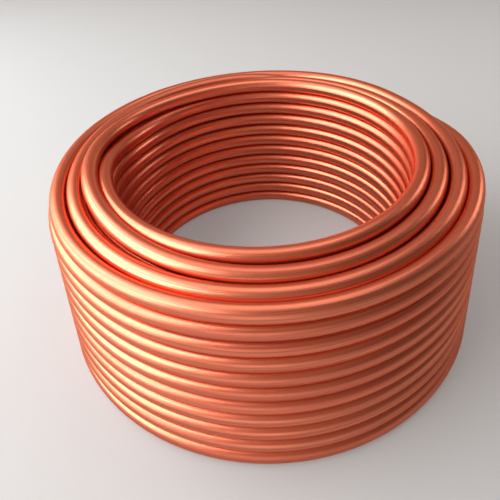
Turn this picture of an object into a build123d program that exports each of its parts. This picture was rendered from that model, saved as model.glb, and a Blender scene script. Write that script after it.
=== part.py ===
# Coil of soft copper tube, level wound in layers, standing on its end.
# The coil's axis is +Z and the origin is at the centre of its lower end, on the floor.
# The coil is one length of tube, so it is one solid, turned about the axis with its bore.
# Its turns show as rings on both ends and on the outside. The turns that lie buried in the winding
# are a plain core, and the bore is a plain wall on the crests of the innermost turns.

import os
from math import pi, radians, sqrt, tan

from build123d import *

# Driving dimensions in millimetres
tube_diameter = 12.7
tube_wall = 0.8
bore_diameter = 244.0
layer_count = 4
turns_per_layer = 12

# The outermost layer is wound looser, with fewer turns on the same height
turns_left_out = 1

# Copper, in grams per cubic millimetre
copper_density = 0.00894

# The winding: turns lie one on the other, and each layer lies round the one before
tube_radius = tube_diameter / 2
bore_radius = bore_diameter / 2
outer_radius = bore_radius + layer_count * tube_diameter
coil_height = turns_per_layer * tube_diameter
outside_turns = turns_per_layer - turns_left_out
outside_pitch = coil_height / outside_turns

# A round of the tube shows as a flat crest between two 45 degree slopes, as on an octagon drawn
# round it, so two rounds meet in a square groove
crest_width = tube_diameter * tan(radians(22.5))
groove_side = (tube_diameter - crest_width) / sqrt(2)

# Where rounds meet on the ends and on the outside. The first and last of each row ease the corners
# of the bore and of the outside.
end_grooves = [
    (bore_radius + layer * tube_diameter, height)
    for layer in range(layer_count + 1)
    for height in (0, coil_height)
]
outside_grooves = [(outer_radius, turn * outside_pitch) for turn in range(outside_turns + 1)]

# Winding
with BuildPart() as copper_tube_coil:
    with BuildSketch(Plane.XZ) as half_section:
        with Locations((bore_radius, 0)):
            Rectangle(outer_radius - bore_radius, coil_height, align=Align.MIN)
        with Locations(*end_grooves, *outside_grooves):
            Rectangle(groove_side, groove_side, rotation=45, mode=Mode.SUBTRACT)
    revolve(axis=Axis.Z)

copper_tube_coil.part.label = "copper_tube_coil"

# What the coil measures, for the record
layer_radii = [bore_radius + tube_radius + layer * tube_diameter for layer in range(layer_count)]
tube_length = 2 * pi * (sum(layer_radii) * turns_per_layer - layer_radii[-1] * turns_left_out)
tube_section = pi * (tube_diameter - tube_wall) * tube_wall
print(f"outside {2 * outer_radius:.1f} mm, bore {bore_diameter:.1f} mm, height {coil_height:.1f} mm")
print(f"tube {tube_length / 1000:.1f} m, weight {tube_length * tube_section * copper_density / 1000:.2f} kg")

os.makedirs("parts", exist_ok=True)
export_step(copper_tube_coil.part, "parts/copper_tube_coil.step")
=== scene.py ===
import math
import bmesh
import bpy
import numpy as np
from mathutils import Matrix, Vector


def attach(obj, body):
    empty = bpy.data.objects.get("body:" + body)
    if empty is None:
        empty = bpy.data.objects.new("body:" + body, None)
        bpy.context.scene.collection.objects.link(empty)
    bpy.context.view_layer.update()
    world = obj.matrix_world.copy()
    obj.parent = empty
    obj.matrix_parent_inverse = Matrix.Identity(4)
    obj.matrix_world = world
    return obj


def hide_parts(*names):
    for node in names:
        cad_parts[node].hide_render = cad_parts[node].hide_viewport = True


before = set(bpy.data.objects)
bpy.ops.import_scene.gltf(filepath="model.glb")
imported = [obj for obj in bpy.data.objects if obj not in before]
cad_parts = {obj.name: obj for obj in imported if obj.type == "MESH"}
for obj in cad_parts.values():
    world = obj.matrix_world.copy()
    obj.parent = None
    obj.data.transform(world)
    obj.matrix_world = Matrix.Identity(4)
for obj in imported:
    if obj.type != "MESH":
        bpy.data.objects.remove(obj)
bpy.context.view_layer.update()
print("frame loaded")

tubeDiameter = 0.0127  # metres, the measure of the whole winding

camera = {
    "distance": 28.373,  # in front of the coil's axis, in tube diameters
    "height": 28.947,
    "yaw": -1.652,  # degrees
    "pitch": 33.740,
    "roll": -3.703,
    "pixels": 500,  # across the picture
    "focal": 509.9,  # in the same pixels
    "shift": -0.16,  # the photo's centre isn't the centre of its perspective
    "sensor": 36,
    "nearest": 0.01,
}


def placeCamera():
    yaw, pitch, roll = (math.radians(camera[key]) for key in ("yaw", "pitch", "roll"))
    level = math.cos(pitch)
    forward = Vector((math.sin(yaw) * level, math.cos(yaw) * level, -math.sin(pitch)))
    right = forward.cross(Vector((0, 0, 1))).normalized()
    up = right.cross(forward)
    rolledRight = right * math.cos(roll) + up * math.sin(roll)
    rolledUp = up * math.cos(roll) - right * math.sin(roll)
    data = bpy.data.cameras.new("camera")
    data.sensor_width = camera["sensor"]
    data.lens = camera["focal"] / camera["pixels"] * data.sensor_width
    data.shift_y = camera["shift"]
    data.clip_start = camera["nearest"]
    view = bpy.data.objects.new("camera", data)
    bpy.context.scene.collection.objects.link(view)
    turn = Matrix((rolledRight, rolledUp, -forward)).transposed().to_4x4()
    place = Vector((0, -camera["distance"], camera["height"])) * tubeDiameter
    view.matrix_world = Matrix.Translation(place) @ turn
    bpy.context.scene.camera = view


placeCamera()
print("camera placed")

# The winding is one length of tube. Its route is a list of knots: an angle in degrees, a radius and
# a height, both in tube diameters. Angles count from the coil's front, towards +X and on through
# every turn, and those written here count from the front of the turn that they belong to.
winding = {
    "sides": 16,
    "stepsPerTurn": 108,
    "easing": 7,  # steps that a bend between two knots is eased over
    "wall": 0.063,  # of the tube, in diameters
    "endDepth": 1.6,  # how far the open ends are hollow
    "weld": 1e-6,  # metres
    "sharp": 50,  # degrees; edges below this are shaded smooth
    "inner": {  # wound upwards
        "turns": 12,
        "radius": 10.03,
        "firstHeight": 0.5,
        "gaps": {1: 0.02, 9: 0.03},  # a little air under these turns
        "end": 18,  # the tube's inner end, at the foot of the bore
        "level": (5, 248),  # between these a turn lies at its own height
        "near": (278, 325),  # between these one turn less stands, spread over the same height
        "spread": 0.1,
        "leave": 210,  # the top turn goes outwards from here
    },
    "second": {  # wound downwards
        "turns": 12,
        "radius": 11.0,
        "bottom": 0.5,
        "top": [  # it lies up on the inner layer at the near left
            (248, 11.0, 11.45), (272, 10.88, 11.93), (292, 10.84, 12.06), (312, 10.96, 11.86),
            (335, 11.12, 11.54), (360, 11.2, 11.4), (390, 11.16, 11.4), (430, 11.05, 11.4),
            (480, 11.0, 11.4), (540, 11.0, 11.38),
        ],
        "fillerSpan": (252, 345),  # where the turn below comes up into the room that this leaves
        "filler": [(277, 10.97, 10.9), (315, 10.97, 10.92)],
        "level": 210,  # the turn below starts to lie level here, and each later one further on
        "further": 3.2,
        "levelRun": 333.2,
        "leave": 538,  # the lowest turn goes outwards from here
    },
    "third": {  # wound upwards
        "turns": 12,
        "radius": 12.0,
        "bottom": 0.5,
        "arrive": 212,
        "level": (178, 508),
        "top": [
            (178, 12.0, 11.3), (230, 11.9, 11.3), (290, 11.86, 11.28), (330, 12.1, 11.24),
            (360, 12.21, 11.19), (400, 12.18, 11.22), (440, 12.12, 11.28), (480, 12.1, 11.28),
        ],
    },
    "outer": {  # wound downwards and a little looser
        "turns": 11,
        "top": [
            (148, 13.08, 11.0), (180, 13.06, 10.98), (240, 13.0, 11.0), (290, 12.93, 11.02),
            (330, 13.06, 11.05), (360, 13.13, 11.06), (420, 13.12, 11.05), (452, 13.12, 11.03),
        ],
        "topRadius": 13.16,
        "bottomRadius": 13.8,
        "topHeight": 11.12,
        "bottomHeight": 0.5,
        "drop": (92, 120),  # where each turn goes down to the next
    },
}


def onwards(start, knots):
    return [(start + angle, radius, height) for angle, radius, height in knots]


def innerHeight(turn):
    inner = winding["inner"]
    gaps = inner["gaps"]
    return inner["firstHeight"] + turn + sum(gaps[k] for k in gaps if k <= turn)


def innerLayer():
    inner = winding["inner"]
    radius, last = inner["radius"], inner["turns"] - 1
    begin, finish = inner["level"]
    route = []
    for turn in range(last):
        start, height = 360 * turn, innerHeight(turn)
        spread = height + inner["spread"] * turn
        route.append((start + (begin if turn else inner["end"]), radius, height))
        route.append((start + finish, radius, height))
        route += [(start + angle, radius, spread) for angle in inner["near"]]
    height = innerHeight(last)
    return route + onwards(360 * last, [(begin, radius, height), (inner["leave"], radius, height)])


def secondLayer(start):
    second = winding["second"]
    radius, last = second["radius"], second["turns"] - 1
    highest = second["top"][-1][2]
    pitch = (highest - second["bottom"]) / last
    route = onwards(start, second["top"])
    for turn in range(1, last + 1):
        start += 360
        height = highest - turn * pitch
        begin = second["level"] + second["further"] * (turn - 1)
        route.append((start + begin, radius, height))
        if turn == 1:
            rise, fall = second["fillerSpan"]
            filler = [(rise, radius, height), *second["filler"], (fall, radius, height)]
            route += onwards(start, filler)
        finish = begin + second["levelRun"] if turn < last else second["leave"]
        route.append((start + finish, radius, height))
    return route


def thirdLayer(start):
    third = winding["third"]
    radius, last = third["radius"], third["turns"] - 1
    begin, finish = third["level"]
    pitch = (third["top"][-1][2] - third["bottom"]) / last
    route = []
    for turn in range(last):
        height = third["bottom"] + turn * pitch
        route.append((start + (begin if turn else third["arrive"]), radius, height))
        route.append((start + finish, radius, height))
        start += 360
    return route + onwards(start, third["top"])


def outerLayer(start):
    outer = winding["outer"]
    begin, finish = outer["drop"]
    route = onwards(start, outer["top"])
    for turn in range(1, outer["turns"]):
        start += 360
        share = turn / (outer["turns"] - 1)
        radius = outer["topRadius"] + (outer["bottomRadius"] - outer["topRadius"]) * share
        height = outer["topHeight"] - (outer["topHeight"] - outer["bottomHeight"]) * share
        route += [(start + finish, radius, height), (start + begin + 360, radius, height)]
    return route


def windingRoute():
    route = innerLayer()
    start = 360 * (winding["inner"]["turns"] - 1)
    route += secondLayer(start)
    start += 360 * winding["second"]["turns"]
    route += thirdLayer(start)
    start += 360 * winding["third"]["turns"]
    return route + outerLayer(start)


def windingPoints():
    angles, radii, heights = (np.array(column, float) for column in zip(*windingRoute()))
    count = round((angles[-1] - angles[0]) / 360 * winding["stepsPerTurn"])
    steps = np.linspace(angles[0], angles[-1], count + 1)
    window = winding["easing"]
    box = np.ones(window) / window
    eased = []
    for values in (radii, heights):
        values = np.interp(steps, angles, values)
        for _ in range(2):  # twice, so that a bend has no kink where the easing starts
            padded = np.pad(values, window // 2, mode="edge")
            values = np.convolve(padded, box, mode="valid")
        eased.append(values * tubeDiameter)
    turns = np.radians(steps)
    return [
        Vector((radius * math.sin(turn), -radius * math.cos(turn), height))
        for turn, radius, height in zip(turns, *eased)
    ]


def hollowEnd(bm, edges, inward):
    # the cut end of the tube: a rim as wide as the wall, then a short bore; the corners keep a
    # fixed order, which a set doesn't, so that their middle is the same in every run
    corners = dict.fromkeys(v for edge in edges for v in edge.verts)
    middle = sum((v.co for v in corners), Vector()) / len(corners)
    for share, depth in ((1 - 2 * winding["wall"], 0), (1, winding["endDepth"])):
        made = bmesh.ops.extrude_edge_only(bm, edges=edges)["geom"]
        edges = [item for item in made if isinstance(item, bmesh.types.BMEdge)]
        ring = {v for edge in edges for v in edge.verts}
        for v in ring:
            v.co = middle + (v.co - middle) * share + inward * depth * tubeDiameter
    bmesh.ops.edgeloop_fill(bm, edges=edges)


def windTube():
    points = windingPoints()
    data = bpy.data.curves.new("tube", "CURVE")
    data.dimensions = "3D"
    data.bevel_depth = tubeDiameter / 2
    data.bevel_resolution = winding["sides"] // 2 - 2  # 4 sides, and 2 more for each step of this
    data.twist_mode = "Z_UP"
    line = data.splines.new("POLY")
    line.points.add(len(points) - 1)
    for knot, point in zip(line.points, points):
        knot.co = (*point, 1)
    line.use_smooth = True
    swept = bpy.data.objects.new("tube", data)
    bpy.context.scene.collection.objects.link(swept)
    evaluated = swept.evaluated_get(bpy.context.evaluated_depsgraph_get())
    mesh = bpy.data.meshes.new_from_object(evaluated)
    bpy.data.objects.remove(swept)

    bm = bmesh.new()
    bm.from_mesh(mesh)
    bmesh.ops.remove_doubles(bm, verts=bm.verts, dist=winding["weld"])
    for tip, inside in ((points[0], points[1]), (points[-1], points[-2])):
        rim = [e for e in bm.edges if e.is_boundary and (e.verts[0].co - tip).length < tubeDiameter]
        hollowEnd(bm, rim, (inside - tip).normalized())
    bmesh.ops.recalc_face_normals(bm, faces=bm.faces)
    for face in bm.faces:
        face.smooth = True
    for edge in bm.edges:
        edge.smooth = edge.calc_face_angle(0) < math.radians(winding["sharp"])
    bm.to_mesh(mesh)
    bm.free()
    mesh.name = "wound_tube"
    piece = bpy.data.objects.new("wound_tube", mesh)
    bpy.context.scene.collection.objects.link(piece)
    length = sum((b - a).length for a, b in zip(points, points[1:]))
    print("tube wound,", round(length, 2), "m,", len(mesh.polygons), "faces")
    return piece, length


copper = {
    "bright": (0.78, 0.222, 0.122, 1),
    "worn": (0.66, 0.16, 0.088, 1),
    "dull": (0.42, 0.108, 0.066, 1),
    "edge": (1.0, 0.5, 0.35, 1),
    "coat": {"Coat Weight": 0.3, "Coat Roughness": 0.3, "Coat IOR": 1.5},
    # noises: cells in a metre of tube, radius in cells of the circle round it, detail, roughness
    "dieLines": (0.5, 6, 3, 0.6),  # long lines from the drawing die
    "scratches": (14, 16, 2, 0.5),
    "patches": (5, 1.1, 4, 0.6),
    # ramps: the noise values that they start and end at, then what they give there
    "wornPatches": (0.38, 0.62, 0, 1),
    "dullLines": (0.5, 0.68, 0, 0.75),
    "roughness": (0.35, 0.65, 0.27, 0.44),
    "roughnessShares": (0.6, 0.4),  # of the die lines and the patches
    "scratchHeight": 0.35,  # beside die lines of 1
    "bumpStrength": 0.4,
    "bumpDistance": 0.0002,
}


def addNode(tree, kind, **values):
    node = tree.nodes.new("ShaderNode" + kind)
    for name, value in values.items():
        setattr(node, name, value)
    return node


def mathNode(tree, operation, *inputs):
    node = addNode(tree, "Math", operation=operation)
    for socket, value in zip(node.inputs, inputs):
        if isinstance(value, (int, float)):
            socket.default_value = value
        else:
            tree.links.new(value, socket)
    return node.outputs[0]


def mapRange(tree, value, *ends):
    node = addNode(tree, "MapRange", interpolation_type="SMOOTHSTEP")
    tree.links.new(value, node.inputs["Value"])
    for name, number in zip(("From Min", "From Max", "To Min", "To Max"), ends):
        node.inputs[name].default_value = number
    return node.outputs["Result"]


def mixColour(tree, share, first, second):
    node = addNode(tree, "Mix", data_type="RGBA")
    tree.links.new(share, node.inputs[0])
    for socket, value in ((node.inputs[6], first), (node.inputs[7], second)):  # the colour sockets
        if isinstance(value, tuple):
            socket.default_value = value
        else:
            tree.links.new(value, socket)
    return node.outputs[2]


def copperMaterial(length):
    material = bpy.data.materials.new("drawn_copper")
    material.use_nodes = True
    tree = material.node_tree
    link = tree.links.new
    shader = tree.nodes["Principled BSDF"]
    shader.inputs["Metallic"].default_value = 1
    shader.inputs["Specular Tint"].default_value = copper["edge"]
    for name, value in copper["coat"].items():
        shader.inputs[name].default_value = value

    # the tube's own coordinates: metres along it, and a circle round it
    uv = addNode(tree, "UVMap", uv_map="UVMap")
    split = addNode(tree, "SeparateXYZ")
    link(uv.outputs["UV"], split.inputs[0])
    along = mathNode(tree, "MULTIPLY", split.outputs["X"], length)
    angle = mathNode(tree, "MULTIPLY", split.outputs["Y"], 2 * math.pi)
    side = mathNode(tree, "COSINE", angle)
    rise = mathNode(tree, "SINE", angle)

    def tubeNoise(perMetre, perRound, detail, roughness):
        spot = addNode(tree, "CombineXYZ")
        link(mathNode(tree, "MULTIPLY", along, perMetre), spot.inputs["X"])
        link(mathNode(tree, "MULTIPLY", side, perRound), spot.inputs["Y"])
        link(mathNode(tree, "MULTIPLY", rise, perRound), spot.inputs["Z"])
        noise = addNode(tree, "TexNoise")
        noise.inputs["Scale"].default_value = 1
        noise.inputs["Detail"].default_value = detail
        noise.inputs["Roughness"].default_value = roughness
        link(spot.outputs[0], noise.inputs["Vector"])
        return noise.outputs["Fac"]

    dieLines = tubeNoise(*copper["dieLines"])
    scratches = tubeNoise(*copper["scratches"])
    patches = tubeNoise(*copper["patches"])

    worn = mapRange(tree, patches, *copper["wornPatches"])
    colour = mixColour(tree, worn, copper["bright"], copper["worn"])
    dull = mapRange(tree, dieLines, *copper["dullLines"])
    colour = mixColour(tree, dull, colour, copper["dull"])
    link(colour, shader.inputs["Base Color"])

    shares = zip((dieLines, patches), copper["roughnessShares"])
    haze = mathNode(tree, "ADD", *(mathNode(tree, "MULTIPLY", *pair) for pair in shares))
    link(mapRange(tree, haze, *copper["roughness"]), shader.inputs["Roughness"])

    bump = addNode(tree, "Bump")
    bump.inputs["Strength"].default_value = copper["bumpStrength"]
    bump.inputs["Distance"].default_value = copper["bumpDistance"]
    relief = mathNode(tree, "MULTIPLY", scratches, copper["scratchHeight"])
    link(mathNode(tree, "ADD", dieLines, relief), bump.inputs["Height"])
    link(bump.outputs[0], shader.inputs["Normal"])
    return material


woundTube, tubeLength = windTube()
woundTube.data.materials.append(copperMaterial(tubeLength))
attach(woundTube, "root")
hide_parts("copper_tube_coil")
print("copper finished")

studio = {
    "floorSize": 15,
    "floor": (0.41, 0.425, 0.43, 1),
    "floorRoughness": 0.9,
    "floorGlow": 0.16,  # the share of plain white that eye and gloss see
    "horizon": (1.0, 0.98, 0.95, 1),
    "sky": (0.42, 0.29, 0.22, 1),  # warm, which keeps the copper's dark parts from turning mauve
    "skyRise": (0.05, 0.35),  # from horizon to sky between these heights
    "dimming": (0.1, 0.8, 1, 0.35),  # towards +X between these, from full strength to this
    "aim": (0, 0, 0.08),  # what every lamp looks at
    # name: place, width, height and power
    "lamps": {
        "key": ((-1.05, -0.1, 0.74), 2.0, 1.42, 46),
        "front": ((-0.35, -1.7, 0.2), 1.1, 0.35, 1.6),
        "ceiling": ((0.0, 0.3, 1.4), 1.3, 1.0, 5),
        "back": ((1.1, 0.5, 0.6), 0.4, 0.4, 2),
    },
}


def layFloor():
    mesh = bpy.data.meshes.new("floor")
    bm = bmesh.new()
    bmesh.ops.create_grid(bm, x_segments=1, y_segments=1, size=studio["floorSize"])
    bm.to_mesh(mesh)
    bm.free()
    floor = bpy.data.objects.new("floor", mesh)
    bpy.context.scene.collection.objects.link(floor)
    material = bpy.data.materials.new("floor")
    material.use_nodes = True
    tree = material.node_tree
    link = tree.links.new
    shader = tree.nodes["Principled BSDF"]
    shader.inputs["Base Color"].default_value = studio["floor"]
    shader.inputs["Roughness"].default_value = studio["floorRoughness"]
    shader.inputs["Specular IOR Level"].default_value = 0
    path = addNode(tree, "LightPath")
    seen = path.outputs["Is Camera Ray"]
    for ray in ("Is Glossy Ray", "Is Transmission Ray"):
        seen = mathNode(tree, "MAXIMUM", seen, path.outputs[ray])
    glow = addNode(tree, "Emission")
    mix = addNode(tree, "MixShader")
    link(mathNode(tree, "MULTIPLY", seen, studio["floorGlow"]), mix.inputs[0])
    link(shader.outputs[0], mix.inputs[1])
    link(glow.outputs[0], mix.inputs[2])
    link(mix.outputs[0], tree.nodes["Material Output"].inputs["Surface"])
    mesh.materials.append(material)


def lightStudio():
    world = bpy.data.worlds.new("studio")
    bpy.context.scene.world = world
    world.use_nodes = True
    tree = world.node_tree
    background = tree.nodes["Background"]
    view = addNode(tree, "TexCoord")
    split = addNode(tree, "SeparateXYZ")
    tree.links.new(view.outputs["Generated"], split.inputs[0])
    rise = mapRange(tree, split.outputs["Z"], *studio["skyRise"])
    colour = mixColour(tree, rise, studio["horizon"], studio["sky"])
    tree.links.new(colour, background.inputs["Color"])
    strength = mapRange(tree, split.outputs["X"], *studio["dimming"])
    tree.links.new(strength, background.inputs["Strength"])
    for name, (place, width, height, power) in studio["lamps"].items():
        data = bpy.data.lights.new(name, "AREA")
        data.shape = "RECTANGLE"
        data.size, data.size_y = width, height
        data.energy = power
        lamp = bpy.data.objects.new(name, data)
        lamp.location = place
        aim = Vector(studio["aim"]) - Vector(place)
        lamp.rotation_euler = aim.to_track_quat("-Z", "Y").to_euler()
        bpy.context.scene.collection.objects.link(lamp)


layFloor()
lightStudio()
bpy.context.scene.view_settings.view_transform = "Standard"
print("studio lit")
